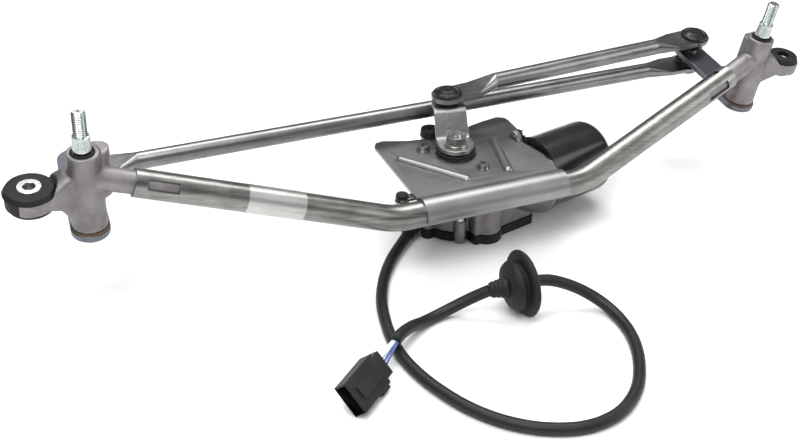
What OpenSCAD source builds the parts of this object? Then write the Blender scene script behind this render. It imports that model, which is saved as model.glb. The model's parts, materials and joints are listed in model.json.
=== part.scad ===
// Windshield wiper motor and linkage assembly: tube frame with two pivots,
// gear motor, crank, drive link, tie link and a short lead with a connector.

/* [Frame] */
// Outer diameter of the frame tube
tube_d = 22; // [21:0.5:23]
// Wall of the frame tube
tube_wall = 2; // [1.6:0.1:2.2]
// Radius of the tube's two bends at the centreline
bend_r = 70; // [60:5:80]
// Thickness of the stamped motor plate
plate_t = 2.5; // [2:0.1:2.6]
// Where each pivot spigot ends and the tube starts, from the pivot axis
spigot_out = 34; // [32:1:36]

/* [Pivots] */
// Distance between the pivots along X
pivot_span = 595; // [590:1:600]
// Lean of both spindles towards the front
lean_x = 9; // [8:0.5:10]
// Lean of both spindles towards the right
lean_y = 3; // [2:0.5:4]
// Diameter of each spindle in its bushings
spindle_d = 12; // [11.5:0.5:12]
// Diameter of the thread on each spindle
thread_d = 10; // [9:0.5:10]
// Height of the spindle tip above the pivot's middle
spindle_top = 66.5; // [64:0.5:70]
// Distance from the left spindle to its mounting ear
ear_x = 38; // [37:0.5:39]
// Distance from the right spindle to its mounting ear
ear_xr = 33.5; // [33:0.5:34.5]
// Bore of the metal sleeve in each mounting ear
sleeve_bore = 8.4; // [8:0.1:9]

/* [Linkage] */
// Lever length from the spindle to its ball
lever_r = 85; // [84:0.5:86]
// Crank throw
crank_r = 34.8; // [34:0.1:36]
// Outer diameter of both link tubes
link_d = 15; // [14.5:0.5:15]
// Diameter of the ball studs
ball_d = 11; // [10:0.5:11]

/* [Motor] */
// Outer diameter of the motor can
can_d = 67; // [65:0.5:68]
// Length of the motor can
can_l = 75; // [73:1:77]
// Wall of the motor can
can_wall = 2.2; // [1.8:0.1:2.6]
// Angle of the motor axis from X
motor_angle = 13.5; // [12:0.5:15]
// Outer radius of the gear housing
gear_r = 32; // [31.5:0.5:33]
// Number of teeth on the worm wheel
gear_teeth = 56; // [48:1:60]

/* [Lead] */
// Diameter of the lead
cord_d = 9.5; // [9:0.1:9.5]
// Diameter of the cowl grommet
grommet_d = 55; // [54:0.5:55]

/* [Hidden] */
$fn = 48;

// origin: middle of the footprint box at the level it stands on
org = [293.704, 49.75, -130];

function unit(v) = v / norm(v);
function lerp(a, b, t) = a + (b - a) * t;

// pivots and the spindle direction
PL = [0, 0, 0];
PR = [pivot_span, 23, -11.5];
S = [sin(lean_y) * cos(lean_x), -sin(lean_x), cos(lean_y) * cos(lean_x)];
E1 = [cos(lean_y), 0, -sin(lean_y)];
E2 = [sin(lean_y) * sin(lean_x), cos(lean_x), cos(lean_y) * sin(lean_x)];
meet_h = 12.5;
TL = PL + S * meet_h;
TR = PR + S * meet_h;
B1 = [230.5, -15, -69];
B2 = [404, -15, -69];
AL = unit(B1 - TL);
AR = unit(B2 - TR);

// heights along the spindle
seat_h = 33;
base_h = -31.5;
lever_top = -33.5;
lever_t = 5;
// heights of the tie link balls, of the raised end of the right lever and of its upper ball
tie_l = -46.5;
tie_r = -44.5;
end_r = -28;
top_ball_h = -15;
plate_z = -59;
floor_z = -130;

// gear motor
SH = [314.2, 52.9, 0];
CB = [320.2, 87.2, -19.3];
MC = [385, 37.6, -87];
MD = [cos(motor_angle), sin(motor_angle), 0];
crank_dir = atan2(CB[1] - SH[1], CB[0] - SH[0]);
arm_top = -25.8;
cover_z = -121.5;
worm_off = 31.4;

module place() { translate(-org) children(); }
module at(p) { translate(p) rotate([lean_x, lean_y, 0]) children(); }
module along(p, d) { translate(p) rotate([0, acos(d[2] / norm(d)), atan2(d[1], d[0])]) children(); }
module axes(o, x, y, z) {
  multmatrix([[x[0], y[0], z[0], o[0]], [x[1], y[1], z[1], o[1]], [x[2], y[2], z[2], o[2]], [0, 0, 0, 1]]) children();
}
// t is measured along the motor axis from the housing's face
module motor_at(t) { along(MC, MD) translate([0, 0, t]) children(); }
module ring(h, d1, d2) { difference() { cylinder(h = h, d = d1); translate([0, 0, -1]) cylinder(h = h + 2, d = d2); } }

// ---- frame tube: three straight runs and two bends ----
module bend(c, a, b, r, d) {
  th = acos(a * b);
  t = r * tan(th / 2);
  n = unit(b - (a * b) * a);
  s = c - a * t;
  axes(s + n * r, -n, a, cross(-n, a)) rotate_extrude(angle = th, $fn = 96) translate([r, 0]) circle(d = d);
}
function tan_len(a, b) = bend_r * tan(acos(a * b) / 2);
module tube_path(d, e) {
  t1 = tan_len(AL, [1, 0, 0]);
  t2 = tan_len([1, 0, 0], -AR);
  p0 = TL + AL * (spigot_out - e);
  p3 = TR + AR * (spigot_out - e);
  along(p0, AL) cylinder(h = norm(B1 - p0) - t1, d = d);
  bend(B1, AL, [1, 0, 0], bend_r, d);
  translate(B1 + [t1, 0, 0]) rotate([0, 90, 0]) cylinder(h = B2[0] - B1[0] - t1 - t2, d = d);
  bend(B2, [1, 0, 0], -AR, bend_r, d);
  along(p3, AR) cylinder(h = norm(B2 - p3) - t2, d = d);
}
// stake pockets in each end of the tube: p and d give the tube end, roll turns them round it
module pocket(p, d, roll, depth = 3) {
  along(p, d) rotate([0, 0, roll]) translate([tube_d / 2 - depth, -4, 9]) cube([6, 8, 23]);
}
module frame_tube() {
  color([0.66, 0.66, 0.64]) place() difference() {
    tube_path(tube_d, 0);
    tube_path(tube_d - 2 * tube_wall, 1);
    pocket(TL + AL * spigot_out, AL, 130);
    pocket(TL + AL * spigot_out, AL, 245);
    pocket(TR + AR * spigot_out, AR, -160);
    pocket(TR + AR * spigot_out, AR, 100);
  }
}
module tube_label() {
  color([0.78, 0.78, 0.76]) place() along(TL + AL * 118, AL) ring(46, tube_d + 0.5, tube_d);
}

// ---- stamped plate that the motor hangs from ----
module ridge(a, b, w, h) {
  intersection() {
    hull() {
      translate([a[0], a[1], plate_z - 1]) scale([1, 1, h / w]) sphere(r = w, $fn = 24);
      translate([b[0], b[1], plate_z - 1]) scale([1, 1, h / w]) sphere(r = w, $fn = 24);
    }
    translate([200, -50, plate_z - 1]) cube([250, 200, 20]);
  }
}
module motor_plate() {
  color([0.55, 0.55, 0.55]) place() difference() {
    union() {
      translate([0, 0, plate_z - plate_t]) linear_extrude(plate_t)
        polygon([[253, -6.8], [251.5, 90], [255, 97], [262, 98.5], [284, 90.5], [308, 87], [330, 91], [360, 101],
                 [379, 105], [385.5, 101.5], [387, 95], [384, -6.8]]);
      // front flange wrapped over the tube
      translate([254, 0, 0]) rotate([90, 0, 90]) linear_extrude(130) difference() {
        translate([-15, -69]) circle(d = tube_d + 2 * plate_t);
        translate([-15, -69]) circle(d = tube_d);
        translate([-40, -100]) square([60, 27]);
        translate([-15, -100]) square([30, 38.5]);
      }
      ridge([265, 60], [304, 8], 4.5, 4.2);
      ridge([356, 64], [344, 10], 4.5, 4.2);
      // ear that carries the rear isolator
      translate([IS[0], IS[1], plate_z - plate_t]) cylinder(h = plate_t, d = 16);
      translate([IS[0] - 8, 84, plate_z - plate_t]) cube([16, IS[1] - 84, plate_t]);
    }
    translate([SH[0], SH[1], -70]) cylinder(h = 20, d = 36);
    for (p = mount_xy) translate([p[0], p[1], -70]) cylinder(h = 20, d = 6.4);
    translate([IS[0], IS[1], -70]) cylinder(h = 20, d = 9);
    motor_at(-3.2) cylinder(h = 24, d = can_d + 5);
    for (a = can_a) motor_at(-7) rotate([0, 0, a]) translate([can_d / 2 + 4.6, 0, 0]) { cylinder(h = 16, d = 13); translate([-12, -6, 0]) cube([12, 12, 16]); }
  }
}
mount_xy = [[290, 69], [325.5, 20.5], [322.5, 80]];
module mount_screws() {
  color([0.75, 0.75, 0.74]) place() for (p = mount_xy) translate([p[0], p[1], 0]) {
    translate([0, 0, plate_z - 14]) cylinder(h = 14, d = 6);
    translate([0, 0, plate_z]) cylinder(h = 1.2, d = 12.5);
    translate([0, 0, plate_z + 1.2]) difference() {
      cylinder(h = 3.8, d = 10);
      translate([0, 0, 1.6]) cylinder(h = 5, d = 5.4, $fn = 6);
    }
  }
}
// rubber isolator in the ear behind the plate
IS = [306.5, 94];
module rear_isolator() {
  color([0.1, 0.1, 0.1]) place() translate([IS[0], IS[1], 0]) difference() {
    union() {
      translate([0, 0, plate_z]) cylinder(h = 7, d1 = 18, d2 = 16);
      translate([0, 0, plate_z - plate_t]) cylinder(h = plate_t, d = 9);
      translate([0, 0, plate_z - plate_t - 3]) cylinder(h = 3, d = 15);
    }
    translate([0, 0, -70]) cylinder(h = 30, d = 5);
  }
}
// upright peg on a short bracket beside the plate
PG = [243.5, 3];
module locating_peg() {
  color([0.72, 0.72, 0.7]) place() translate([PG[0], PG[1], 0]) {
    translate([0, 0, -70]) cylinder(h = 6, d = 12);
    translate([0, 0, -64]) cylinder(h = 4, d = 6);
    translate([0, -4, -64]) cube([17, 8, 2.5]);
  }
}
module peg_rubber() {
  color([0.08, 0.08, 0.08]) place() translate([PG[0], PG[1], 0]) difference() {
    translate([0, 0, -61.5]) cylinder(h = 3.5, d1 = 11, d2 = 10);
    translate([0, 0, -65]) cylinder(h = 5, d = 6);
  }
}

// ---- die-cast pivot housings; m is -1 on the left and 1 on the right ----
module pivot_housing(P, T, A, m) {
  lx = m < 0 ? 10.5 : -4;
  ly = m < 0 ? 6.5 : 5;
  ex = m < 0 ? ear_x : ear_xr;
  ed = m < 0 ? 36 : 30;
  ez = m < 0 ? 0 : 2.5;
  color([0.62, 0.6, 0.6]) place() difference() {
    union() {
      at(P) {
        translate([0, 0, base_h]) cylinder(h = seat_h - base_h, d1 = 26, d2 = 23);
        // rear lobe, joined to the boss by a web
        translate([lx, ly, -9]) cylinder(h = 40, d = 17);
        translate([0, 0, -9]) rotate([0, 0, atan2(ly, lx)]) translate([0, -7.7, 0]) cube([norm([lx, ly]), 15.4, 40]);
        // mounting ear and its arm
        translate([m * ex, 0, ez - 5]) cylinder(h = 10, d = ed);
        hull() {
          translate([m * (ex - 12), 0, ez - 5]) cylinder(h = 10, d = ed * 0.75, $fn = 32);
          translate([m * 6, 1, -12]) cylinder(h = 29, d = 17, $fn = 32);
        }
        hull() {
          translate([m * 4, 0, -26]) cylinder(h = 8, d = 14, $fn = 32);
          translate([m * (ex - 16), 0, ez - 5]) cylinder(h = 4, d = 9, $fn = 32);
        }
      }
      along(T, A) {
        cylinder(h = spigot_out, d1 = 19.5, d2 = 17.8);
        cylinder(h = spigot_out + 38, d = tube_d - 2 * tube_wall);
      }
    }
    at(P) translate([0, 0, base_h - 5]) cylinder(h = 80, d = 16);
    at(P) translate([m * ex, 0, -20]) cylinder(h = 40, d = ed - 10);
    at(P) translate([m * ex, 0, ez + 5]) cylinder(h = 30, d = m < 0 ? 38.4 : 29.4);
    at(P) translate([m * ex, 0, ez - 35]) cylinder(h = 30, d = m < 0 ? 35 : 28);
    // the left ear is open at its outer end, where the rubber shows
    if (m < 0) at(P) translate([-ex - 29, -20, -6]) cube([20, 40, 12]);
    if (m < 0) pocket(T + A * spigot_out, A, 130, 3.8);
    else pocket(T + A * spigot_out, A, -160, 3.8);
  }
}
module left_housing() { pivot_housing(PL, TL, AL, -1); }
module right_housing() { pivot_housing(PR, TR, AR, 1); }

module bushing(P, h0) { color([0.55, 0.42, 0.25]) place() at(P) translate([0, 0, h0]) ring(14, 16, spindle_d + 0.1); }
module left_upper_bushing() { bushing(PL, seat_h - 16); }
module left_lower_bushing() { bushing(PL, base_h); }
module right_upper_bushing() { bushing(PR, seat_h - 16); }
module right_lower_bushing() { bushing(PR, base_h); }

module seal(P) {
  color([0.07, 0.07, 0.07]) place() at(P) difference() {
    union() {
      translate([0, 0, seat_h]) cylinder(h = 1.5, d1 = 17.6, d2 = 16.6);
      translate([0, 0, seat_h - 2]) cylinder(h = 2, d = 16);
    }
    translate([0, 0, seat_h - 3]) cylinder(h = 8, d = 14.4);
  }
}
module left_seal() { seal(PL); }
module right_seal() { seal(PR); }

module left_grommet() {
  color([0.06, 0.06, 0.06]) place() at(PL) translate([-ear_x, 0, 0]) difference() {
    union() {
      translate([0, 0, -5]) cylinder(h = 10, d = 26);
      translate([0, 0, 5]) cylinder(h = 3.6, d1 = 37.5, d2 = 33);
      translate([0, 0, -8.6]) cylinder(h = 3.6, d1 = 31, d2 = 34);
      intersection() {
        translate([0, 0, -5]) cylinder(h = 10, d = 35.6);
        translate([-29.2, -20, -5]) cube([20, 40, 10]);
      }
    }
    translate([0, 0, -20]) cylinder(h = 40, d = 13);
  }
}
module right_grommet() {
  color([0.06, 0.06, 0.06]) place() at(PR) translate([ear_xr, 0, 2.5]) difference() {
    union() {
      translate([0, 0, -5]) cylinder(h = 10, d = 20);
      translate([0, 0, 5]) cylinder(h = 4.5, d1 = 28.5, d2 = 25);
      translate([0, 0, -7.6]) cylinder(h = 2.6, d1 = 22, d2 = 24);
    }
    translate([0, 0, -20]) cylinder(h = 40, d = 11);
  }
}
module left_sleeve() {
  color([0.7, 0.7, 0.68]) place() at(PL) translate([-ear_x, 0, 0]) difference() {
    union() { translate([0, 0, -10]) cylinder(h = 19.4, d = 13); translate([0, 0, 8.6]) cylinder(h = 0.8, d = 17); }
    translate([0, 0, -11]) cylinder(h = 22, d = sleeve_bore);
  }
}
module right_sleeve() {
  color([0.7, 0.7, 0.68]) place() at(PR) translate([ear_xr, 0, -7]) ring(15, 11, sleeve_bore);
}

// ---- spindles, levers and ball studs ----
module spindle(P) {
  color([0.68, 0.72, 0.7]) place() at(P) {
    translate([0, 0, lever_top - lever_t - 1.5]) cylinder(h = 1.5, d = 15);
    translate([0, 0, lever_top - lever_t]) cylinder(h = lever_t, d = spindle_d);
    translate([0, 0, lever_top]) cylinder(h = 35.5 - lever_top, d = spindle_d);
    // knurled taper that takes the wiper arm
    translate([0, 0, 35.5]) cylinder(h = 11.5, d1 = 13.6, d2 = 12.2);
    translate([0, 0, 35.5]) for (i = [0:35]) rotate([0, 0, i * 10]) translate([5.6, -0.3, 0.8]) cube([1.1, 0.6, 9.5]);
    // thread
    translate([0, 0, 47]) cylinder(h = spindle_top - 47 - 1.5, d = thread_d);
    translate([0, 0, spindle_top - 1.5]) cylinder(h = 1.5, d1 = thread_d, d2 = thread_d - 2.4);
  }
}
module right_spindle() { spindle(PR); }
module left_spindle() { spindle(PL); }
function side(d) = [-d[1], d[0]];
// outline of a strip of thickness t along the points p
function strip(p, t) = let (n = len(p), d = [for (i = [0:n - 1]) unit(p[min(i + 1, n - 1)] - p[max(i - 1, 0)])])
  concat([for (i = [0:n - 1]) p[i] + t / 2 * side(d[i])], [for (i = [n - 1:-1:0]) p[i] - t / 2 * side(d[i])]);
module lever(P, top) {
  a = lever_top - lever_t / 2;
  b = top - lever_t / 2;
  color([0.32, 0.33, 0.36]) place() at(P) difference() {
    intersection() {
      translate([0, 0, -60]) linear_extrude(60) {
        circle(d = 28.6);
        polygon([[-14.3, 0], [14.3, 0], [14, lever_r], [-14, lever_r]]);
        translate([0, lever_r]) circle(d = 28);
      }
      rotate([90, 0, 90]) translate([0, 0, -20]) linear_extrude(40)
        polygon(strip(b - a < 0.1 ? [[-20, a], [lever_r + 20, a]] : [[-20, a], [19, a], [22, a + 0.4], [34, b - 0.4], [37, b], [lever_r + 20, b]], lever_t));
    }
    translate([0, 0, -60]) cylinder(h = 40, d = spindle_d);
    translate([0, lever_r, -60]) cylinder(h = 50, d = 8);
  }
}
module right_lever() { lever(PR, end_r); }
module left_lever() { lever(PL, lever_top); }
module thrust_washer(P) { color([0.12, 0.11, 0.08]) place() at(P) translate([0, 0, lever_top]) ring(1.95, 27.4, spindle_d); }
module right_thrust_washer() { thrust_washer(PR); }
module left_thrust_washer() { thrust_washer(PL); }
module ball_stud(P, tie, top, up) {
  color([0.7, 0.7, 0.7]) place() at(P) translate([0, lever_r, 0]) {
    translate([0, 0, tie]) cylinder(h = top - tie, d = 8);
    translate([0, 0, tie]) sphere(d = ball_d);
    if (up) {
      translate([0, 0, top]) cylinder(h = top_ball_h - top, d = 7.5);
      translate([0, 0, top]) cylinder(h = 1.6, d = 15);
      translate([0, 0, top_ball_h]) sphere(d = ball_d);
    } else translate([0, 0, top]) cylinder(h = 2, d = 13);
  }
}
module right_ball_stud() { ball_stud(PR, tie_r, end_r, true); }
module left_ball_stud() { ball_stud(PL, tie_l, lever_top, false); }

// ---- links: a tube with both ends pressed flat into rings ----
BLT = PL + E2 * lever_r + S * tie_l;
BRT = PR + E2 * lever_r + S * tie_r;
BRD = PR + E2 * lever_r + S * top_ball_h;
function up_of(d, u) = unit(u - (u * d) * d);
// o is the socket centre, d points along the link, u is the socket axis
module link_end(o, d, u, lift) {
  z = up_of(d, u);
  axes(o, d, cross(z, d), z) {
    translate([0, 0, -2]) cylinder(h = 4, d = 29);
    translate([0, -13, -2]) cube([26, 26, 4]);
    hull() {
      translate([25, -12.8, -1.9]) cube([0.6, 25.6, 3.8]);
      translate([48, 0, lift]) rotate([0, 90, 0]) cylinder(h = 0.5, d = link_d - 0.4, $fn = 32);
    }
  }
}
module link_hole(o, d, u) { z = up_of(d, u); axes(o, d, cross(z, d), z) translate([0, 0, -10]) cylinder(h = 20, d = 22); }
// la and lb lift the tube above the flat ends at a and b
module link_tube(a, b, ua, ub, la, lb) {
  d = unit(b - a);
  pa = a + d * 48.2 + up_of(d, ua) * la;
  pb = b - d * 48.2 + up_of(d, ub) * lb;
  along(pa, pb - pa) cylinder(h = norm(pb - pa), d = link_d);
}
module link_bore(a, b, ua, ub, la, lb) {
  d = unit(b - a);
  pa = a + d * 52 + up_of(d, ua) * la;
  pb = b - d * 52 + up_of(d, ub) * lb;
  along(pa, pb - pa) cylinder(h = norm(pb - pa), d = link_d - 3);
}
module link_rod(a, b, ua, ub, la, lb) {
  d = unit(b - a);
  place() difference() {
    union() {
      link_tube(a, b, ua, ub, la, lb);
      link_end(a, d, ua, la);
      link_end(b, -d, ub, lb);
    }
    link_bore(a, b, ua, ub, la, lb);
    link_hole(a, d, ua);
    link_hole(b, -d, ub);
  }
}
// black plastic socket: up is 1 when its open side faces down, -1 when it faces up
module socket(o, d, u, up, low) {
  z = up_of(d, u) * up;
  place() axes(o, d, cross(z, d), z) difference() {
    union() {
      translate([0, 0, -low]) cylinder(h = low + 4.5, d = 22);
      translate([0, 0, 2]) cylinder(h = 2.6, d1 = 26, d2 = 25);
      translate([0, 0, 4.5]) cylinder(h = 2.6, d1 = 21, d2 = 14);
    }
    sphere(d = ball_d + 0.5);
    translate([0, 0, -low - 1]) cylinder(h = low + 1, d = 9.6);
    translate([0, 0, -low - 0.01]) cylinder(h = 3.5, d1 = 17, d2 = 9.6);
  }
}
module tie_link_rod() { color([0.5, 0.5, 0.49]) link_rod(BLT, BRT, S, S, 0, 0); }
module tie_link_sockets() {
  d = unit(BRT - BLT);
  color([0.08, 0.08, 0.08]) { socket(BLT, d, S, -1, 5.3); socket(BRT, d, S, -1, 5.3); }
}
module drive_link_rod() { color([0.52, 0.52, 0.5]) link_rod(CB, BRD, [0, 0, 1], S, 3.5, 0); }
module drive_link_sockets() {
  d = unit(BRD - CB);
  color([0.08, 0.08, 0.08]) { socket(CB, d, [0, 0, 1], 1, 4.6); socket(BRD, d, S, 1, 8.5); }
}
// the crank's ball stud stays with the drive link, just clear of the crank
module crank_ball_stud() {
  color([0.7, 0.7, 0.7]) place() translate(CB) {
    difference() { sphere(d = ball_d); translate([-10, -10, -14.6]) cube([20, 20, 10]); }
    translate([0, 0, -4.6]) cylinder(h = 4.6, d = 8);
  }
}

// ---- crank ----
crank_line = [[-20, -51.5], [10.4, -51.5], [12.2, -51.05], [13.8, -49.9], [15.2, -47.9], [23.4, -31.4], [24.9, -29.5], [26.9, -28.2], [29.3, arm_top - 2], [60, arm_top - 2]];
module crank_arm() {
  color([0.58, 0.57, 0.56]) place() translate([SH[0], SH[1], 0]) rotate([0, 0, crank_dir]) difference() {
    intersection() {
      translate([0, 0, -60]) linear_extrude(60) {
        circle(d = 31);
        polygon([[0, -15.5], [crank_r, -14], [crank_r, 14], [0, 15.5]]);
        translate([crank_r, 0]) circle(d = 28);
      }
      rotate([90, 0, 0]) translate([0, 0, -20]) linear_extrude(40) polygon(strip(crank_line, 4));
    }
    translate([0, 0, -60]) cylinder(h = 20, d = 12);
    translate([crank_r, 0, -40]) cylinder(h = 20, d = 8);
  }
}
module crank_nut() {
  color([0.78, 0.78, 0.77]) place() translate([SH[0], SH[1], -49.5]) difference() {
    union() {
      cylinder(h = 1.6, d = 20.4);
      translate([0, 0, 1.6]) cylinder(h = 6.9, d = 19.2, $fn = 6);
    }
    translate([0, 0, -1]) cylinder(h = 12, d = 10);
  }
}
module output_shaft() {
  color([0.7, 0.7, 0.7]) place() translate([SH[0], SH[1], 0]) {
    translate([0, 0, -104]) cylinder(h = 104 - 49.5, d = 12);
    translate([0, 0, -49.5]) cylinder(h = 11, d = 10);
  }
}
module worm_wheel() {
  color([0.85, 0.83, 0.75]) place() translate([SH[0], SH[1], -93]) difference() {
    union() {
      linear_extrude(12) for (i = [0:gear_teeth - 1]) rotate(i * 360 / gear_teeth) translate([gear_r - 6.9, 0]) polygon([[-1.5, -0.75], [1.1, -0.35], [1.1, 0.35], [-1.5, 0.75]]);
      cylinder(h = 12, r = gear_r - 7.2);
      translate([0, 0, -6]) cylinder(h = 22, d = 22);
    }
    translate([0, 0, -10]) cylinder(h = 40, d = 12);
    for (s = [0, 1]) translate([0, 0, s ? 9 : -1]) ring(4, 44, 24);
  }
}

// ---- gear housing, cover and seals ----
module house_2d(g) {
  circle(r = gear_r + g);
  rotate(motor_angle) translate([-8 - g, -worm_off - 11 - g]) square([66 + 2 * g, 34 + 2 * g]);
  translate([16.8, -31.9]) circle(r = 14 + g);
}
module lugs_2d(a, d) { for (i = a) translate([33.5 * cos(i), 33.5 * sin(i)]) circle(d = d); }
module gear_housing() {
  color([0.6, 0.59, 0.6]) place() difference() {
    union() {
      translate([SH[0], SH[1], cover_z]) linear_extrude(plate_z - plate_t - 12 - cover_z) offset(r = 3, $fn = 24) offset(delta = -3) house_2d(0);
      translate([SH[0], SH[1], plate_z - plate_t - 12]) cylinder(h = 6, r1 = gear_r, r2 = 26);
      translate([SH[0], SH[1], plate_z - plate_t - 6]) cylinder(h = 6, r = 15.5);
      translate([SH[0], SH[1], plate_z - plate_t]) cylinder(h = 4.5, r = 15.5);
      // screw lugs; the front one is longer and carries its own screw
      translate([SH[0], SH[1], cover_z]) linear_extrude(13.5) lugs_2d(cover_a, 11);
      translate([SH[0], SH[1], floor_z + 0.8]) linear_extrude(22) lugs_2d([front_a], 10.6);
      // flange that carries the can
      difference() {
        union() {
          motor_at(-4) cylinder(h = 4, d = can_d + 3);
          motor_at(-26) cylinder(h = 22, d1 = 48, d2 = can_d + 3);
        }
        // the neck and the flange stay below the plate
        translate(MC) rotate([0, 0, motor_angle]) translate([-40, -45, plate_z - plate_t - 0.5 - MC[2]]) cube([41, 90, 30]);
      }
      for (a = can_a) motor_at(-6) rotate([0, 0, a]) translate([can_d / 2 + 4.6, 0, 0]) { cylinder(h = 5.8, d = 11); translate([-9, -5, 0]) cube([9, 10, 5.8]); }
      // rounded end of the worm bore
      motor_at(-75.8) cylinder(h = 66, d = 21.4);
      for (p = mount_xy) translate([p[0], p[1], plate_z - plate_t - 16]) cylinder(h = 16, d = 13);
    }
    // gear chamber, open below
    translate([SH[0], SH[1], cover_z - 1]) cylinder(h = -75 - cover_z, r = gear_r - 4.5);
    motor_at(-72.5) cylinder(h = 110, d = 17);
    motor_at(-12) cylinder(h = 30, d = 56);
    translate([SH[0], SH[1], -80]) cylinder(h = 40, d = 16);
    translate([SH[0], SH[1], -57.5]) cylinder(h = 10, d = 20);
    for (p = mount_xy) translate([p[0], p[1], plate_z - 14]) cylinder(h = 20, d = 6);
    translate([SH[0], SH[1], cover_z - 1]) linear_extrude(9) lugs_2d(cover_a, 3.6);
    translate([SH[0], SH[1], -119]) linear_extrude(12.5) lugs_2d([front_a], 3.6);
    translate([SH[0], SH[1], -107.5]) linear_extrude(7) lugs_2d([front_a], 9.2);
    for (a = can_a) motor_at(-8) rotate([0, 0, a]) translate([can_d / 2 + 4.6, 0, 0]) cylinder(h = 20, d = 5);
    // keep clear of the tube and the flange around it
    translate([200, -15, -69]) rotate([0, 90, 0]) cylinder(h = 230, d = tube_d + 2 * plate_t + 1);
  }
}
cover_a = [118, 40, 202];
front_a = 255;
can_a = [-90, 141];
module output_bushing() {
  color([0.55, 0.42, 0.25]) place() translate([SH[0], SH[1], -76]) ring(18.4, 16, 12.1);
}
module output_seal() {
  color([0.05, 0.05, 0.05]) place() translate([SH[0], SH[1], 0]) difference() {
    translate([0, 0, -57]) cylinder(h = 2.4, d = 35);
    translate([0, 0, -60]) cylinder(h = 10, d = 12.6);
  }
}
module cover_2d(g) {
  difference() {
    union() {
      offset(r = 3, $fn = 24) offset(delta = -3 + g) house_2d(0);
      lugs_2d(cover_a, 11 + 2 * g);
    }
    lugs_2d([front_a], 11.4);
  }
}
module cover_gasket() {
  color([0.05, 0.05, 0.05]) place() translate([SH[0], SH[1], cover_z - 1.2]) linear_extrude(1.2) difference() {
    cover_2d(0.6);
    circle(r = gear_r - 4.4);
    lugs_2d(cover_a, 4.4);
  }
}
module gear_cover() {
  color([0.09, 0.09, 0.1]) place() translate([SH[0], SH[1], 0]) difference() {
    translate([0, 0, floor_z]) linear_extrude(cover_z - 1.2 - floor_z) cover_2d(0.6);
    translate([0, 0, floor_z + 2.2]) cylinder(h = 20, r = gear_r - 4.4);
    translate([0, 0, floor_z - 1]) linear_extrude(3) lugs_2d(cover_a, 8.6);
    translate([0, 0, floor_z]) linear_extrude(30) lugs_2d(cover_a, 4.4);
  }
}
module cover_screws() {
  color([0.72, 0.72, 0.7]) place() translate([SH[0], SH[1], 0]) {
    translate([0, 0, floor_z + 0.4]) linear_extrude(1.6) lugs_2d(cover_a, 7.8);
    translate([0, 0, floor_z + 2]) linear_extrude(14) lugs_2d(cover_a, 3.6);
    translate([0, 0, -118]) linear_extrude(10.5) lugs_2d([front_a], 3.6);
    translate([0, 0, -107.5]) linear_extrude(3.7) lugs_2d([front_a], 8.4);
  }
}
module contact_plate() {
  color([0.75, 0.55, 0.3]) place() translate([SH[0], SH[1], -107]) difference() {
    union() { cylinder(h = 1.2, d = 40); translate([0, 0, 1.2]) cylinder(h = 4, d = 15); }
    translate([0, 0, 3]) cylinder(h = 10, d = 12);
    translate([12, 0, -1]) cylinder(h = 4, d = 6);
  }
}

// ---- motor ----
module motor_can() {
  r = can_d / 2;
  color([0.1, 0.1, 0.11]) place() motor_at(0) difference() {
    union() {
      rotate_extrude($fn = 96) polygon(concat([[28.1, 0], [r + 1.5, 0], [r + 1.5, 2], [r, 2]],
        [for (k = [0:15:90]) [r - 20 * (1 - cos(k)), can_l - 14 + 14 * sin(k)]],
        [[0, can_l], [0, can_l - 1.4], [7, can_l - 1.4], [7, can_l - 5.2], [r - 9, can_l - 5.2], [r - 3.6, can_l - 9.5],
        [r - can_wall, can_l - 14], [r - can_wall, 1.4], [28.1, 1.4]]));
      for (a = can_a) rotate([0, 0, a]) translate([r + 4.6, 0, 0.1]) cylinder(h = 1.7, d = 11);
    }
    for (a = can_a) rotate([0, 0, a]) translate([r + 4.6, 0, -1]) cylinder(h = 4, d = 5);
  }
}
module can_screws() {
  color([0.7, 0.7, 0.68]) place() for (a = can_a) motor_at(-6) rotate([0, 0, a]) translate([can_d / 2 + 4.6, 0, 0]) {
    cylinder(h = 8.05, d = 4.98);
    translate([0, 0, 8.05]) cylinder(h = 4, d = 8, $fn = 6);
  }
}
module field_magnets() {
  color([0.25, 0.25, 0.26]) place() motor_at(14) for (a = [0, 180]) rotate([0, 0, a + 30]) linear_extrude(44) intersection() {
    difference() { circle(d = can_d - 2 * can_wall - 0.04); circle(d = 48); }
    polygon([[0, 0], [40, -46], [60, 0], [40, 46]]);
  }
}
module brush_card() {
  color([0.2, 0.2, 0.2]) place() difference() {
   motor_at(-3) {
    difference() { cylinder(h = 4, d = 55.96); translate([0, 0, -1]) cylinder(h = 8, d = 26); }
    for (a = [0, 180]) rotate([0, 0, a]) translate([11.5, -3, 1]) cube([12, 6, 9]);
   }
   translate(MC) rotate([0, 0, motor_angle]) translate([-40, -45, plate_z - plate_t - 0.5 - MC[2]]) cube([41, 90, 30]);
  }
}
module rear_bearing() { color([0.55, 0.42, 0.25]) place() motor_at(can_l - 12) ring(9, 14, 8.1); }
module front_bearing() { color([0.55, 0.42, 0.25]) place() motor_at(-24) ring(10, 16.98, 8.1); }
module armature_shaft() {
  color([0.7, 0.7, 0.7]) place() motor_at(-71) {
    cylinder(h = 36, d = 7);
    translate([0, 0, 36]) cylinder(h = 31 + can_l, d = 8);
    // worm: the thread is drawn as rings
    translate([0, 0, 1]) for (i = [0:7]) translate([0, 0, i * 3.4]) {
      cylinder(h = 1, d1 = 7, d2 = 9.6);
      translate([0, 0, 1]) cylinder(h = 1, d1 = 9.6, d2 = 7);
    }
  }
}
module armature_core() {
  color([0.4, 0.4, 0.42]) place() motor_at(22) difference() {
    linear_extrude(36) difference() {
      circle(d = 45);
      for (i = [0:9]) rotate(i * 36) { translate([12, -2.2]) square([6.5, 4.4]); translate([18, -0.9]) square([6, 1.8]); }
    }
    translate([0, 0, -1]) cylinder(h = 40, d = 8.02);
  }
}
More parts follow.
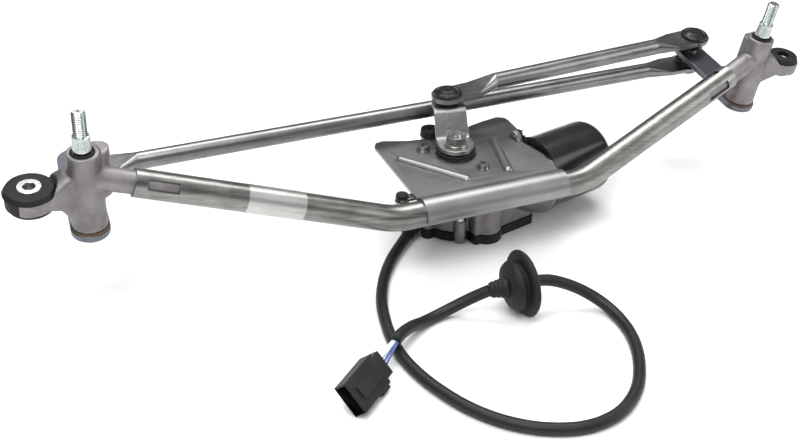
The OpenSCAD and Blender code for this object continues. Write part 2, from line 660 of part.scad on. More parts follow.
module armature_windings() {
  color([0.7, 0.38, 0.18]) place() motor_at(17) for (h = [0, 41]) translate([0, 0, h]) ring(5, 37, 8.02);
}
module commutator() { color([0.72, 0.45, 0.25]) place() motor_at(1) ring(12, 21, 8.02); }

// ---- lead ----
function bez(p, i) = p[max(0, min(len(p) - 1, i))];
function cr(a, b, c, d, t) = 0.5 * ((2 * b) + (c - a) * t + (2 * a - 5 * b + 4 * c - d) * t * t + (3 * b - a - 3 * c + d) * t * t * t);
function smooth(p, k) = [for (i = [0:len(p) - 2], j = [0:k - 1]) cr(bez(p, i - 1), bez(p, i), bez(p, i + 1), bez(p, i + 2), j / k), p[len(p) - 1]];
lead_pts = [[262, 37, -122.6], [250, 25.5, -124.6], [238, 12, -125.2], [226.5, -4.5, -125.2], [216.5, -22, -125.2], [208, -42, -125.2], [202, -64, -125.2],
  [198, -88, -125.2], [197, -112, -125.2], [201, -137, -125.2], [209, -161, -125.2], [221, -185, -125.2], [239, -207, -125.2],
  [262, -223, -125.2], [289, -231, -125.2], [316, -227, -125.2], [340, -211, -125.2], [358, -187, -125.2], [370, -160, -125.2],
  [374, -134, -125], [368, -113, -120.5], [353, -99.5, -112.5], [334, -93, -105], [318, -91.5, -102.4]];
tail_pts = [[283, -85, -106.5], [270, -80.5, -113.5], [256, -77.5, -120.5], [242, -77.5, -124.8], [228, -82.5, -124],
  [214, -91, -118.8], [202, -100.5, -115.2], [194, -108, -114.6]];
function tangent(q, i) = i == 0 ? q[1] - q[0] : i == len(q) - 1 ? q[i] - q[i - 1] : q[i + 1] - q[i - 1];
// rings stay upright: side is level, up is square to the run
function ring_at(c, t, r, n) = let (w = unit(t), s = unit(cross([0, 0, 1], w)), u = cross(w, s))
  [for (k = [0:n - 1]) c + r * (cos(k * 360 / n) * s + sin(k * 360 / n) * u)];
module sweep(q, r, n) {
  m = len(q);
  pts = [for (i = [0:m - 1]) each ring_at(q[i], tangent(q, i), r, n)];
  polyhedron(points = pts, faces = concat([[for (k = [0:n - 1]) k]], [[for (k = [0:n - 1]) m * n - 1 - k]],
    [for (i = [0:m - 2], k = [0:n - 1]) each [[i * n + k, (i + 1) * n + k, i * n + (k + 1) % n], [(i + 1) * n + k, (i + 1) * n + (k + 1) % n, i * n + (k + 1) % n]]]), convexity = 8);
}
lead_path = smooth(lead_pts, 2);
tail_path = smooth(tail_pts, 2);
module cord_lead() { color([0.05, 0.05, 0.05]) place() sweep(lead_path, cord_d / 2, 10); }
module cord_tail() { color([0.05, 0.05, 0.05]) place() sweep(tail_path, cord_d / 2, 10); }
// tapered strain relief out of the cover's side
LD = lead_path[1] - lead_path[0];
module cord_gland() {
  color([0.06, 0.06, 0.06]) place() intersection() {
    along(lead_pts[0], -LD) { cylinder(h = 30, d1 = cord_d + 1.5, d2 = 15); }
    difference() {
      translate([200, -40, floor_z]) cube([120, 120, 40]);
      translate([SH[0], SH[1], floor_z - 1]) linear_extrude(60) cover_2d(0.6);
    }
  }
}
GX = 303;
module cowl_grommet() {
  color([0.07, 0.07, 0.07]) place() {
    translate([0, -91.5, -102.4]) rotate([0, 90, 0]) rotate_extrude($fn = 64)
      polygon([[0, GX - 8], [12, GX - 8], [19, GX - 6], [21, GX - 1], [18, GX], [18, GX + 3], [26, GX + 3], [grommet_d / 2, GX + 5],
               [grommet_d / 2, GX + 7], [24, GX + 9], [12, GX + 9], [9, GX + 15], [0, GX + 15]]);
    along(tail_pts[0], [GX - 6, -91.5, -102.4] - tail_pts[0]) cylinder(h = norm([GX - 6, -91.5, -102.4] - tail_pts[0]), d1 = cord_d + 2, d2 = 17);
  }
}
// connector: hollow shell, open end away from the wires
// it lies rolled over on one long edge, as its wires hold it
CD = unit([-0.7511, -0.6601, 0]);
CP = [176, -125.9, -116.1];
CY = [-CD[1], CD[0], 0] * cos(49.1) - [0, 0, sin(49.1)];
module conn() { axes(CP, CD, CY, cross(CD, CY)) children(); }
module connector_housing() {
  color([0.06, 0.06, 0.06]) place() conn() difference() {
    union() {
      translate([0, -10, -5]) cube([12, 20, 10]);
      translate([9, -13, -6]) cube([37, 26, 12]);
      translate([9, 12, -2]) cube([11, 4.4, 5]);
      translate([12, -5, 5]) cube([28, 10, 3.4]);
    }
    translate([21, -11.4, -4.6]) cube([40, 22.8, 9.2]);
    translate([-1, -8, -3.6]) cube([8, 16, 7.2]);
    for (y = [-4.5, 4.5]) translate([5, y - 1.1, -1.1]) cube([20, 2.2, 2.2]);
  }
}
module connector_seal() {
  color([0.45, 0.16, 0.1]) place() conn() translate([1, -8, -3.6]) cube([6, 16, 7.2]);
}
module connector_wires() {
  place() for (y = [-4.5, -1.5, 1.5, 4.5]) {
    e = CP + CD * 1 + CY * y;
    s = tail_pts[len(tail_pts) - 1] + cross([0, 0, 1], CD) * y * 0.45;
    color(y < 0 ? [0.15, 0.2, 0.5] : [0.85, 0.85, 0.82]) hull() {
      along(s, unit(tail_path[len(tail_path) - 1] - tail_path[len(tail_path) - 2])) cylinder(h = 0.3, d = 1.8, $fn = 16);
      along(e - CD * 0.3, CD) cylinder(h = 0.3, d = 1.8, $fn = 16);
    }
  }
}

frame_tube();
tube_label();
motor_plate();
left_housing();
left_upper_bushing();
left_lower_bushing();
left_seal();
left_grommet();
left_sleeve();
right_housing();
right_upper_bushing();
right_lower_bushing();
right_seal();
right_grommet();
right_sleeve();
locating_peg();
peg_rubber();
rear_isolator();
gear_housing();
cover_gasket();
gear_cover();
cover_screws();
motor_can();
can_screws();
field_magnets();
brush_card();
rear_bearing();
front_bearing();
mount_screws();
output_bushing();
output_seal();
contact_plate();
cord_gland();
cord_lead();
cord_tail();
cowl_grommet();
connector_housing();
connector_seal();
connector_wires();
output_shaft();
worm_wheel();
crank_arm();
crank_nut();
armature_shaft();
armature_core();
armature_windings();
commutator();
right_spindle();
right_lever();
right_ball_stud();
right_thrust_washer();
left_spindle();
left_lever();
left_ball_stud();
left_thrust_washer();
tie_link_rod();
tie_link_sockets();
drive_link_rod();
drive_link_sockets();
crank_ball_stud();
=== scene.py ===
import json
import math
import bmesh
import bpy
from mathutils import Matrix, Vector, noise

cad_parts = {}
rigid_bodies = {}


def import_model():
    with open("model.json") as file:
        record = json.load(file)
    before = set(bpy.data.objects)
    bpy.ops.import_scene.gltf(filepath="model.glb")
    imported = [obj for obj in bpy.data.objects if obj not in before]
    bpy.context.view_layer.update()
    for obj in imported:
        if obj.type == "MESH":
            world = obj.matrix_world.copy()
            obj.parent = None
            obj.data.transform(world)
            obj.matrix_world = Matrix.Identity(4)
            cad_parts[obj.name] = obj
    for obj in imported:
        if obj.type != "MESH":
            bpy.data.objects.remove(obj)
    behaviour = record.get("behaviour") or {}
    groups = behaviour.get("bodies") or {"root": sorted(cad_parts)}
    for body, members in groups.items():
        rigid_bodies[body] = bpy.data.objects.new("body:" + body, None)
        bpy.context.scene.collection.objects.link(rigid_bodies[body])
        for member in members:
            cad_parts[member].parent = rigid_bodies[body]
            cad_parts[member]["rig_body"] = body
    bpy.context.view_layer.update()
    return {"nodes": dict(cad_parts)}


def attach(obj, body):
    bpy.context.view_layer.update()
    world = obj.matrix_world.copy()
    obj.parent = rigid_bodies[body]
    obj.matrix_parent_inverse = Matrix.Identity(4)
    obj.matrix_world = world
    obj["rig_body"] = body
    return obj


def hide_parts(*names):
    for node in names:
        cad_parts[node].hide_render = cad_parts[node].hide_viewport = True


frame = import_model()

NODES = frame["nodes"]
BODY_OF = {n: o["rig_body"] for n, o in NODES.items()}

# ---------------------------------------------------------------- frame
# the design frame (millimetres, origin at the left pivot) and the row frame (metres)
ORG = Vector((293.704, 49.75, -130.0))


def M(x, y=None, z=None):
    v = Vector(x) if y is None else Vector((x, y, z))
    return (v - ORG) / 1000.0


LX, LY = math.radians(9), math.radians(3)
S = Vector((math.sin(LY) * math.cos(LX), -math.sin(LX), math.cos(LY) * math.cos(LX)))
E1 = Vector((math.cos(LY), 0, -math.sin(LY)))
E2 = Vector((math.sin(LY) * math.sin(LX), math.cos(LX), math.cos(LY) * math.sin(LX)))
PL, PR = Vector((0, 0, 0)), Vector((595, 23, -11.5))
SH = Vector((314.2, 52.9, 0))
CB = Vector((320.2, 87.2, -19.3))
MC = Vector((385, 37.6, -87))
MA = math.radians(13.5)
MD = Vector((math.cos(MA), math.sin(MA), 0))
PLATE_Z, PLATE_T, FLOOR_Z, COVER_Z = -59.0, 2.5, -130.0, -121.5

# ---------------------------------------------------------------- camera
az, el = math.radians(-21.518), math.radians(31.987)
back = Vector((math.sin(az) * math.cos(el), -math.cos(az) * math.cos(el), math.sin(el)))
right = Vector((math.cos(az), math.sin(az), 0))
up = back.cross(right)
cam_data = bpy.data.cameras.new("camera")
cam_data.sensor_width = 36
cam_data.lens = 45.874
cam_data.clip_start = 0.01
cam_data.clip_end = 50
cam = bpy.data.objects.new("camera", cam_data)
bpy.context.scene.collection.objects.link(cam)
rot = Matrix((right, up, back)).transposed().to_4x4()
cam.matrix_world = Matrix.Translation(M(-22.6, -667.3, 365.8)) @ rot
bpy.context.scene.camera = cam
bpy.context.scene.view_settings.view_transform = "Standard"


# ---------------------------------------------------------------- materials
class Mat:
    """A material whose nodes are added one after another."""

    def __init__(s, name, **k):
        s.m = bpy.data.materials.new(name)
        s.m.use_nodes = True
        s.t = s.m.node_tree
        s.b = s.t.nodes["Principled BSDF"]
        for key, v in k.items():
            s.b.inputs[key.replace("_", " ")].default_value = v
        s.co = s.t.nodes.new("ShaderNodeTexCoord").outputs["Object"]

    def node(s, kind, ins=None, **attrs):
        n = s.t.nodes.new(kind)
        for a, v in attrs.items():
            setattr(n, a, v)
        for i, v in (ins or {}).items():
            if hasattr(v, "is_output"):
                s.t.links.new(v, n.inputs[i])
            else:
                n.inputs[i].default_value = v
        return n

    def noise(s, scale, detail=3.0, rough=0.55, stretch=None, axis=None, distort=0.0):
        co = s.co
        if axis is not None:
            # turn the coordinates so that the stretched direction follows the axis
            q = Vector((0, 0, 1)).rotation_difference(Vector(axis)).inverted().to_euler()
            co = s.node("ShaderNodeMapping", {0: co, 2: tuple(q)}).outputs[0]
        if stretch is not None:
            co = s.node("ShaderNodeMapping", {0: co, 3: stretch}).outputs[0]
        return s.node("ShaderNodeTexNoise", {"Vector": co, "Scale": scale, "Detail": detail, "Roughness": rough, "Distortion": distort}).outputs[0]

    def ramp(s, fac, stops):
        r = s.node("ShaderNodeValToRGB", {0: fac})
        e = r.color_ramp.elements
        while len(e) < len(stops):
            e.new(0.5)
        for k, (p, c) in zip(e, stops):
            k.position = p
            k.color = (c, c, c, 1) if isinstance(c, (int, float)) else (*c, 1)
        return r.outputs[0]

    def mix(s, fac, a, b, blend="MIX"):
        n = s.node("ShaderNodeMix", data_type="RGBA", blend_type=blend)
        for i, v in ((0, fac), (6, a), (7, b)):
            if hasattr(v, "is_output"):
                s.t.links.new(v, n.inputs[i])
            else:
                n.inputs[i].default_value = v if i == 0 else (*v, 1)
        return n.outputs[2]

    def math(s, op, a, b=0.0, c=0.0):
        n = s.node("ShaderNodeMath", {0: a, 1: b, 2: c}, operation=op)
        return n.outputs[0]

    def span(s, v, lo, hi):
        return s.node("ShaderNodeMapRange", {0: v, 3: lo, 4: hi}).outputs[0]

    def edge(s, lo=0.5, hi=0.56):
        """1 along worn outer edges, 0 elsewhere."""
        g = s.node("ShaderNodeNewGeometry").outputs["Pointiness"]
        return s.node("ShaderNodeMapRange", {0: g, 1: lo, 2: hi, 3: 0.0, 4: 1.0}).outputs[0]

    def set(s, key, v):
        s.t.links.new(v, s.b.inputs[key])

    def bump(s, *layers):
        """Layers of (height, distance in mm), finest last."""
        n = None
        for h, d in layers:
            k = s.node("ShaderNodeBump", {"Height": h, "Distance": d / 1000.0, "Strength": 1.0})
            if n is not None:
                s.t.links.new(n, k.inputs["Normal"])
            n = k.outputs[0]
        s.set("Normal", n)


def metal(name, dark, light, r0, r1, blot=45, grain=900, axis=None, stretch=(1, 1, 0.03), bump=0.012, spots=0.25, wear=0.0, streak=0.5):
    """Plated or rolled steel: blotches, drawn streaks, fine grain, small stains."""
    k = Mat(name, Metallic=1.0)
    big = k.noise(blot, 4, 0.6)
    fine = k.noise(grain, 3, 0.6, stretch=stretch if axis is not None else None, axis=axis)
    mixv = k.math("ADD", k.math("MULTIPLY", big, 1 - streak), k.math("MULTIPLY", fine, streak))
    col = k.mix(k.ramp(mixv, [(0.3, 0.0), (0.7, 1.0)]), dark, light)
    if spots:
        st = k.ramp(k.noise(230, 5, 0.7, distort=0.6), [(0.58, 0.0), (0.74, 1.0)])
        col = k.mix(k.math("MULTIPLY", st, spots), col, tuple(c * 0.55 for c in dark))
    if wear:
        col = k.mix(k.math("MULTIPLY", k.edge(), wear), col, tuple(min(1, c * 1.35) for c in light))
    k.set("Base Color", col)
    k.set("Roughness", k.span(mixv, r0, r1))
    k.bump((big, bump * 3), (fine, bump))
    return k.m


def cast(name, dark, light, r0=0.42, r1=0.62, bump=0.05):
    k = Mat(name, Metallic=0.92)
    big = k.noise(60, 4, 0.6)
    pit = k.noise(1400, 3, 0.65)
    vor = k.node("ShaderNodeTexVoronoi", {"Vector": k.co, "Scale": 900.0}).outputs[0]
    col = k.mix(k.ramp(big, [(0.3, 0.0), (0.7, 1.0)]), dark, light)
    col = k.mix(k.math("MULTIPLY", k.ramp(pit, [(0.25, 1.0), (0.45, 0.0)]), 0.45), col, tuple(c * 0.5 for c in dark))
    col = k.mix(k.math("MULTIPLY", k.edge(0.5, 0.58), 0.5), col, tuple(min(1, c * 1.4) for c in light))
    k.set("Base Color", col)
    k.set("Roughness", k.span(pit, r0, r1))
    k.bump((big, bump * 2.5), (vor, bump * 0.5), (pit, bump))
    return k.m


def dull(name, base, r0=0.45, r1=0.65, grain=1200, bump=0.02, dust=0.12, dust_col=(0.25, 0.24, 0.22), spec=0.5, coat=0.0, blot=50):
    """Rubber, plastic and paint."""
    k = Mat(name, Metallic=0.0)
    k.b.inputs["Specular IOR Level"].default_value = spec
    k.b.inputs["Coat Weight"].default_value = coat
    k.b.inputs["Coat Roughness"].default_value = 0.08
    big = k.noise(blot, 4, 0.6)
    fine = k.noise(grain, 3, 0.6)
    col = k.mix(k.ramp(big, [(0.35, 0.0), (0.75, 1.0)]), base, tuple(c * 1.5 + 0.004 for c in base))
    d = k.math("MULTIPLY", k.ramp(k.noise(150, 6, 0.75), [(0.5, 0.0), (0.85, 1.0)]), dust)
    col = k.mix(d, col, dust_col)
    k.set("Base Color", col)
    k.set("Roughness", k.span(fine, r0, r1))
    k.bump((big, bump * 2), (fine, bump))
    return k.m


MT = {}
MT["tube"] = metal("zinc_tube", (0.13, 0.13, 0.123), (0.30, 0.30, 0.282), 0.24, 0.42, axis=(1, 0, -0.15), grain=500, stretch=(1, 1, 0.02), streak=0.55, spots=0.2)
MT["label"] = metal("foil", (0.38, 0.38, 0.365), (0.56, 0.56, 0.545), 0.3, 0.45, spots=0.1)
MT["plate"] = metal("stamped_steel", (0.14, 0.143, 0.14), (0.25, 0.253, 0.247), 0.32, 0.5, blot=28, grain=700, axis=(1, 0, 0), stretch=(1, 1, 0.05), spots=0.2, wear=0.5, streak=0.35)
MT["cast"] = cast("cast_aluminium", (0.15, 0.14, 0.145), (0.27, 0.254, 0.261))
MT["bronze"] = metal("bronze", (0.30, 0.2, 0.1), (0.5, 0.36, 0.2), 0.4, 0.55, spots=0.3)
MT["zinc"] = metal("bright_zinc", (0.28, 0.287, 0.277), (0.52, 0.527, 0.51), 0.16, 0.3, spots=0.12, wear=0.3)
MT["spindle"] = metal("spindle_zinc", (0.27, 0.30, 0.29), (0.55, 0.59, 0.57), 0.2, 0.34, axis=tuple(S), grain=700, stretch=(1, 1, 0.04), spots=0.1, wear=0.4)
MT["steel"] = metal("ground_steel", (0.5, 0.5, 0.5), (0.75, 0.75, 0.75), 0.2, 0.35, spots=0.1)
MT["lever"] = metal("lever_steel", (0.05, 0.053, 0.062), (0.12, 0.125, 0.14), 0.3, 0.5, spots=0.2, wear=0.8)
MT["crank"] = metal("crank_steel", (0.22, 0.213, 0.207), (0.46, 0.45, 0.435), 0.24, 0.42, axis=(0.1, 1, 0.4), grain=500, stretch=(1, 1, 0.05), spots=0.15, wear=0.5)
MT["rod"] = metal("rod_steel", (0.12, 0.12, 0.117), (0.27, 0.27, 0.26), 0.24, 0.42, axis=(1, 0.03, -0.02), grain=500, stretch=(1, 1, 0.02), spots=0.2, streak=0.55)
MT["fibre"] = dull("fibre", (0.07, 0.04, 0.02), dust=0.03, spec=0.3)
MT["rubber"] = dull("rubber_black", (0.006, 0.006, 0.007), 0.5, 0.7, dust=0.02, spec=0.25)
MT["sheath"] = dull("sheath_black", (0.006, 0.006, 0.007), 0.4, 0.58, dust=0.015, grain=700, spec=0.3)
MT["socket"] = dull("socket_black", (0.006, 0.0055, 0.006), 0.2, 0.34, dust=0.01, bump=0.008, spec=0.35)
MT["paint"] = dull("black_paint", (0.006, 0.006, 0.007), 0.18, 0.3, dust=0.01, bump=0.006, coat=0.2, spec=0.3)
MT["plastic"] = dull("moulded_black", (0.007, 0.007, 0.008), 0.42, 0.56, dust=0.02, spec=0.28)
MT["orange"] = dull("seal_orange", (0.35, 0.09, 0.03))
MT["wire_w"] = dull("wire_white", (0.62, 0.66, 0.72), 0.3, 0.4, dust=0.15, dust_col=(0.2, 0.2, 0.2))
MT["wire_b"] = dull("wire_blue", (0.08, 0.16, 0.42), 0.3, 0.4, dust=0.15)
def two_wires():
    k = Mat("wires", Roughness=0.35)
    side = Vector((0.6601, -0.7511, 0))
    d = k.node("ShaderNodeVectorMath", {0: k.co, 1: tuple(side)}, operation="DOT_PRODUCT").outputs["Value"]
    at = side.dot(M(185, -117, -115))
    f = k.math("GREATER_THAN", d, at)
    n = k.noise(900, 3)
    white = k.mix(n, (0.55, 0.57, 0.6), (0.72, 0.74, 0.77))
    blue = k.mix(n, (0.03, 0.05, 0.20), (0.06, 0.10, 0.32))
    m = k.node("ShaderNodeMix", {0: f, 6: white, 7: blue}, data_type="RGBA")
    k.set("Base Color", m.outputs[2])
    k.bump((n, 0.02))
    return k.m


MT["wires"] = two_wires()
MT["nylon"] = dull("nylon", (0.62, 0.6, 0.5))
MT["ferrite"] = dull("ferrite", (0.06, 0.06, 0.065), 0.6, 0.8)
MT["card"] = dull("phenolic", (0.12, 0.07, 0.03))
MT["copper"] = metal("copper", (0.5, 0.2, 0.09), (0.85, 0.42, 0.22), 0.25, 0.4)


# ---------------------------------------------------------------- mesh helpers
def obj(name, bm_or_mesh, mat, body=None, smooth=35):
    if isinstance(bm_or_mesh, bmesh.types.BMesh):
        me = bpy.data.meshes.new(name)
        bmesh.ops.recalc_face_normals(bm_or_mesh, faces=bm_or_mesh.faces)
        bm_or_mesh.to_mesh(me)
        bm_or_mesh.free()
    else:
        me = bm_or_mesh
    o = bpy.data.objects.new(name, me)
    bpy.context.scene.collection.objects.link(o)
    me.materials.clear()
    for m in mat if isinstance(mat, (list, tuple)) else [mat]:
        me.materials.append(m)
    if smooth:
        for p in me.polygons:
            p.use_smooth = True
        me.set_sharp_from_angle(angle=math.radians(smooth))
    if body:
        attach(o, body)
    return o


def frame_of(origin, axis, xdir=None):
    """Matrix from local millimetres to the row frame, local +Z along axis."""
    z = Vector(axis).normalized()
    x = Vector(xdir) if xdir is not None else (Vector((0, 0, 1)).cross(z) if abs(z.z) < 0.9 else Vector((1, 0, 0)))
    x = (x - x.dot(z) * z).normalized()
    y = z.cross(x)
    m = Matrix((x, y, z)).transposed().to_4x4()
    m = Matrix.Translation(M(origin)) @ m @ Matrix.Scale(0.001, 4)
    return m


def rings_to_bm(rings, closed=True, caps=True, bm=None):
    """Joins rings of points, all with the same count."""
    bm = bm or bmesh.new()
    vs = [[bm.verts.new(p) for p in r] for r in rings]
    n = len(rings[0])
    for a, b in zip(vs, vs[1:]):
        for i in range(n if closed else n - 1):
            j = (i + 1) % n
            bm.faces.new((a[i], a[j], b[j], b[i]))
    if caps:
        bm.faces.new(vs[0][::-1])
        bm.faces.new(vs[-1])
    return bm


def lathe(name, prof, origin, axis, mat, body, segs=96, rfun=None, xdir=None, smooth=35, ring=False):
    """prof: list of (radius, height) in mm from one end to the other; ring=True closes the profile on itself."""
    m = frame_of(origin, axis, xdir)
    rings = []
    for k, (r, h) in enumerate(prof):
        row = []
        for i in range(segs):
            a = 2 * math.pi * i / segs
            rr = rfun(r, h, a) if rfun else r
            row.append(m @ Vector((rr * math.cos(a), rr * math.sin(a), h)))
        rings.append(row)
    bm = rings_to_bm(rings, caps=not ring)
    if ring:
        bm.verts.ensure_lookup_table()
        n = len(prof)
        for i in range(segs):
            j = (i + 1) % segs
            a, b = (n - 1) * segs, 0
            bm.faces.new((bm.verts[a + i], bm.verts[a + j], bm.verts[b + j], bm.verts[b + i]))
    return obj(name, bm, mat, body, smooth)


def round_prof(prof, r=0.5, n=3):
    """Rounds the corners of a profile."""
    out = [prof[0]]
    for a, b, c in zip(prof, prof[1:], prof[2:]):
        A, B, C = Vector(a), Vector(b), Vector(c)
        u, v = A - B, C - B
        if u.length < 1e-6 or v.length < 1e-6:
            continue
        rr = min(r, 0.45 * u.length, 0.45 * v.length)
        p, q = B + u.normalized() * rr, B + v.normalized() * rr
        for k in range(n + 1):
            t = k / n
            out.append(tuple((1 - t) ** 2 * p + 2 * t * (1 - t) * B + t * t * q))
    out.append(prof[-1])
    return out


def node_copy(name):
    bm = bmesh.new()
    bm.from_mesh(NODES[name].data)
    bmesh.ops.remove_doubles(bm, verts=bm.verts, dist=2e-6)
    return bm


def bevelled(name, mat, width=0.4, segs=2, angle=32):
    """A copy of a CAD node with its sharp edges rounded, shown in its place."""
    bm = node_copy(name)
    bmesh.ops.dissolve_limit(bm, angle_limit=math.radians(0.6), verts=bm.verts, edges=bm.edges)
    o = obj(name + "_d", bm, mat, BODY_OF[name], smooth=angle)
    if width:
        b = o.modifiers.new("bevel", "BEVEL")
        b.width = width / 1000
        b.segments = segs
        b.limit_method = "ANGLE"
        b.angle_limit = math.radians(angle)
        b.harden_normals = False
        b.use_clamp_overlap = True
        w = o.modifiers.new("wn", "WEIGHTED_NORMAL")
        w.keep_sharp = True
    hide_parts(name)
    return o


def cast_copy(name, mat, voxel=0.8, smooth_n=6, factor=0.5):
    """A copy of a CAD node remeshed and relaxed, so that its corners blend like a casting's."""
    bm = node_copy(name)
    bmesh.ops.triangulate(bm, faces=bm.faces)
    o = obj(name + "_d", bm, mat, None, smooth=0)
    r = o.modifiers.new("remesh", "REMESH")
    r.mode = "VOXEL"
    r.voxel_size = voxel / 1000
    s = o.modifiers.new("smooth", "SMOOTH")
    s.iterations = smooth_n
    s.factor = factor
    dg = bpy.context.evaluated_depsgraph_get()
    me = bpy.data.meshes.new_from_object(o.evaluated_get(dg))
    bpy.data.objects.remove(o)
    o = obj(name + "_d", me, mat, BODY_OF[name], smooth=0)
    for p in me.polygons:
        p.use_smooth = True
    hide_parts(name)
    return o


def paint(name, mat):
    o = NODES[name]
    o.data.materials.clear()
    o.data.materials.append(mat)


# ---------------------------------------------------------------- cords
LEAD = [(262, 37, -122.6), (250, 25.5, -124.6), (238, 12, -125.2), (226.5, -4.5, -125.2), (216.5, -22, -125.2), (208, -42, -125.2), (202, -64, -125.2),
        (198, -88, -125.2), (197, -112, -125.2), (201, -137, -125.2), (209, -161, -125.2), (221, -185, -125.2), (239, -207, -125.2),
        (262, -223, -125.2), (289, -231, -125.2), (316, -227, -125.2), (340, -211, -125.2), (358, -187, -125.2), (370, -160, -125.2),
        (374, -134, -125), (368, -113, -120.5), (353, -99.5, -112.5), (334, -93, -105), (318, -91.5, -102.4)]
TAIL = [(283, -85, -106.5), (270, -80.5, -113.5), (256, -77.5, -120.5), (242, -77.5, -124.8), (228, -82.5, -124),
        (214, -91, -118.8), (202, -100.5, -115.2), (194, -108, -114.6)]
CORD_R = 4.75


def catmull(p, k):
    out = []
    for i in range(len(p) - 1):
        a, b, c, d = (Vector(p[max(0, min(len(p) - 1, j))]) for j in (i - 1, i, i + 1, i + 2))
        for s in range(k):
            t = s / k
            out.append(0.5 * (2 * b + (c - a) * t + (2 * a - 5 * b + 4 * c - d) * t * t + (3 * b - a - 3 * c + d) * t ** 3))
    out.append(Vector(p[-1]))
    return out


def sweep(name, path, rfun, mat, body, segs=20, smooth=60):
    """A tube along a path in mm; rfun(distance, angle) is its radius."""
    rings, s = [], 0.0
    for i, q in enumerate(path):
        t = (path[min(i + 1, len(path) - 1)] - path[max(i - 1, 0)]).normalized()
        side = Vector((0, 0, 1)).cross(t)
        side = side.normalized() if side.length > 1e-3 else Vector((1, 0, 0))
        upv = t.cross(side)
        if i:
            s += (q - path[i - 1]).length
        rings.append([M(q + (math.cos(a) * side + math.sin(a) * upv) * rfun(s, a)) for a in (2 * math.pi * k / segs for k in range(segs))])
    return obj(name, rings_to_bm(rings), mat, body, smooth)


lead_path = catmull(LEAD, 12)
tail_path = catmull(TAIL, 14)
lead = sweep("lead_cord", lead_path, lambda s, a: CORD_R - 0.02, MT["sheath"], "frame")
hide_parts("cord_lead")
tail = sweep("tail_cord", tail_path, lambda s, a: CORD_R - 0.02, MT["sheath"], "frame")
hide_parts("cord_tail")

gx = 303
grommet = lathe("cowl_grommet_d", round_prof([
    (5.2, gx - 9), (9.0, gx - 9), (12.5, gx - 8.4), (18.4, gx - 6.2), (20.4, gx - 3), (20.4, gx - 1), (17.6, gx - 0.4), (17.6, gx + 3.2),
    (25.4, gx + 3.2), (27.3, gx + 5.2), (27.3, gx + 6.8), (25.5, gx + 8.8), (22.5, gx + 8.8), (21.6, gx + 7.4), (19.2, gx + 7.4),
    (18.2, gx + 8.8), (12.5, gx + 8.8), (9.6, gx + 10), (8.0, gx + 14.6), (5.0, gx + 14.9)], 0.7, 3),
    (0, -91.5, -102.4), (1, 0, 0), MT["rubber"], "frame", segs=96)
hub_a, hub_b = Vector(TAIL[0]), Vector((gx - 6, -91.5, -102.4))
hub_d = (hub_b - hub_a).normalized()
hub_l = (hub_b - hub_a).length
hub = lathe("grommet_hub", round_prof([(4.9, 0.1), (5.7, 0.1)] + [
    (5.9 + 2.4 * k / 8 + (0.5 if k % 2 else 0), 0.6 + (hub_l - 1) * (k + dk) / 9) for k in range(9) for dk in (0, 0.45)] + [(8.4, hub_l)], 0.4, 2),
    hub_a, hub_d, MT["rubber"], "frame", segs=48)
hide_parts("cowl_grommet")
ld = (lead_path[6] - lead_path[0]).normalized()


# ---------------------------------------------------------------- plain CAD nodes: better surfaces
for n, m in {
    "left_upper_bushing": "bronze", "right_upper_bushing": "bronze", "left_lower_bushing": "bronze", "right_lower_bushing": "bronze",
    "rear_bearing": "bronze", "front_bearing": "bronze", "output_bushing": "bronze", "field_magnets": "ferrite", "brush_card": "card",
    "armature_core": "steel", "armature_windings": "copper", "commutator": "copper", "armature_shaft": "steel", "output_shaft": "steel",
    "worm_wheel": "nylon", "contact_plate": "copper", "connector_seal": "orange", "cord_gland": "rubber", "cover_gasket": "rubber",
}.items():
    paint(n, MT[m])

bevelled("frame_tube", MT["tube"], 0.3, 2, 40)
bevelled("tube_label", MT["label"], 0.1, 1)
bevelled("motor_plate", MT["plate"], 0.35, 2)
cast_copy("left_housing", MT["cast"], 0.8, 5)
cast_copy("right_housing", MT["cast"], 0.8, 5)
cast_copy("gear_housing", MT["cast"], 0.9, 4)
for n in ("left_seal", "right_seal", "left_grommet", "right_grommet", "peg_rubber", "rear_isolator", "output_seal"):
    bevelled(n, MT["rubber"], 0.5, 3)
for n in ("left_sleeve", "right_sleeve", "locating_peg", "mount_screws", "cover_screws", "can_screws", "crank_nut"):
    bevelled(n, MT["zinc"], 0.3, 2)
for n in ("left_ball_stud", "right_ball_stud", "crank_ball_stud"):
    bevelled(n, MT["zinc"], 0.2, 2)
bevelled("left_lever", MT["lever"], 0.5, 2)
bevelled("right_lever", MT["lever"], 0.5, 2)
bevelled("crank_arm", MT["crank"], 0.6, 3)
bevelled("left_thrust_washer", MT["fibre"], 0.2, 1)
bevelled("right_thrust_washer", MT["fibre"], 0.2, 1)
bevelled("gear_cover", MT["plastic"], 0.8, 3)
bevelled("motor_can", MT["paint"], 0.6, 3)
bevelled("tie_link_rod", MT["rod"], 0.4, 2, 40)
bevelled("drive_link_rod", MT["rod"], 0.4, 2, 40)
bevelled("tie_link_sockets", MT["socket"], 0.5, 3)
bevelled("drive_link_sockets", MT["socket"], 0.5, 3)
bevelled("connector_housing", MT["plastic"], 0.7, 3)
paint("connector_wires", MT["wires"])


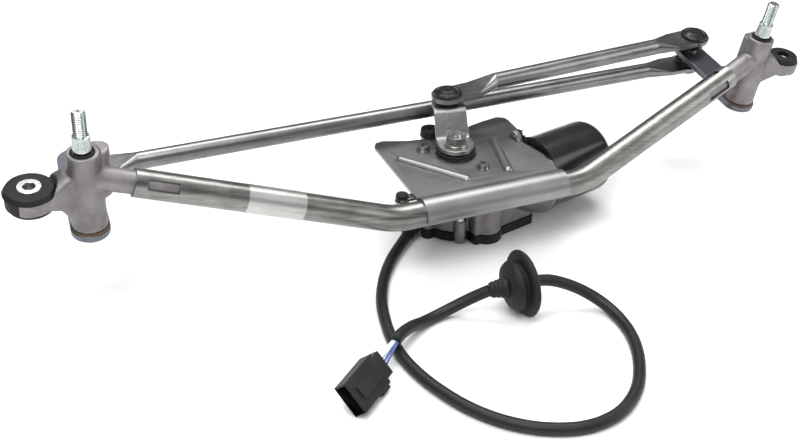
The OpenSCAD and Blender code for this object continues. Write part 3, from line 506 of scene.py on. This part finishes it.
# ---------------------------------------------------------------- spindles with real threads and knurls
def spindle(name, p, body):
    segs = 144
    prof = [(7.3, -40.0), (7.5, -39.8), (7.5, -38.6), (6.0, -38.5), (6.0, 35.5), (6.8, 35.5), (6.85, 36.2)]
    prof += [(6.8 - 0.07 * k, 36.2 + k) for k in range(1, 10)]
    prof += [(6.0, 46.6), (4.9, 47.0)]
    top, pitch = 66.5, 1.5
    h = 47.0
    while h < top - 0.9:
        h += pitch / 8
        prof.append((5.0, h))
    prof += [(4.2, top - 0.25), (3.9, top), (1.2, top), (1.0, top - 0.9)]

    def rfun(r, h, a):
        if 36.6 < h < 45.6:
            return r - 0.3 + 0.32 * abs(((a * 36 / (2 * math.pi)) % 1.0) * 2 - 1)
        if 47.1 < h < top - 0.4 and r > 4.5:
            t = (h / pitch - a / (2 * math.pi)) % 1.0
            depth = 0.85 * max(0.0, 1 - abs(t - 0.5) * 2.3)
            return r - 0.02 - depth * min(1.0, (h - 47.1) / 1.2)
        return r

    o = lathe(name + "_d", prof, p, S, MT["spindle"], body, segs=segs, rfun=rfun, smooth=32)
    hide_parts(name)


spindle("left_spindle", PL, "left_arm")
spindle("right_spindle", PR, "right_arm")


# ---------------------------------------------------------------- stage and light
def stage_floor():
    bm = bmesh.new()
    s = 6.0
    vs = [bm.verts.new((x * s, y * s, -0.0002)) for x, y in ((-1, -1), (1, -1), (1, 1), (-1, 1))]
    bm.faces.new(vs)
    k = Mat("floor", Roughness=0.9)
    k.b.inputs["Base Color"].default_value = (0.9, 0.9, 0.9, 1)
    k.b.inputs["Specular IOR Level"].default_value = 0.1
    o = obj("floor", bm, k.m, None, smooth=0)


stage_floor()

world = bpy.data.worlds.new("world")
bpy.context.scene.world = world
world.use_nodes = True
wt = world.node_tree
bg = wt.nodes["Background"]
co = wt.nodes.new("ShaderNodeTexCoord")
sep = wt.nodes.new("ShaderNodeSeparateXYZ")
wt.links.new(co.outputs["Generated"], sep.inputs[0])
cr = wt.nodes.new("ShaderNodeValToRGB")
wt.links.new(sep.outputs[2], cr.inputs[0])
e = cr.color_ramp.elements
e[0].position, e[0].color = 0.0, (1.0, 1.0, 1.0, 1)
e[1].position, e[1].color = 1.0, (0.75, 0.77, 0.8, 1)
for pos, c in ((0.12, 0.6), (0.35, 0.22), (0.6, 0.22), (0.8, 0.7)):
    k = e.new(pos)
    k.color = (c, c, c * 1.02, 1)
wt.links.new(cr.outputs[0], bg.inputs[0])
bg.inputs[1].default_value = 0.75


def area(name, pos, target, size, power, col=(1, 1, 1), sy=None):
    l = bpy.data.lights.new(name, "AREA")
    l.shape = "RECTANGLE"
    l.size, l.size_y = size, sy or size
    l.energy = power
    l.color = col
    o = bpy.data.objects.new(name, l)
    bpy.context.scene.collection.objects.link(o)
    p, t = Vector(pos), Vector(target)
    o.location = p
    o.rotation_euler = (t - p).to_track_quat("-Z", "Y").to_euler()


area("key", (-0.5, -0.6, 1.3), (0, 0, 0.1), 1.0, 20)
area("top", (0.2, 0.5, 1.5), (0, 0, 0.1), 1.4, 22, sy=0.7)
area("fill", (1.2, -0.8, 0.7), (0, 0, 0.1), 0.9, 8)
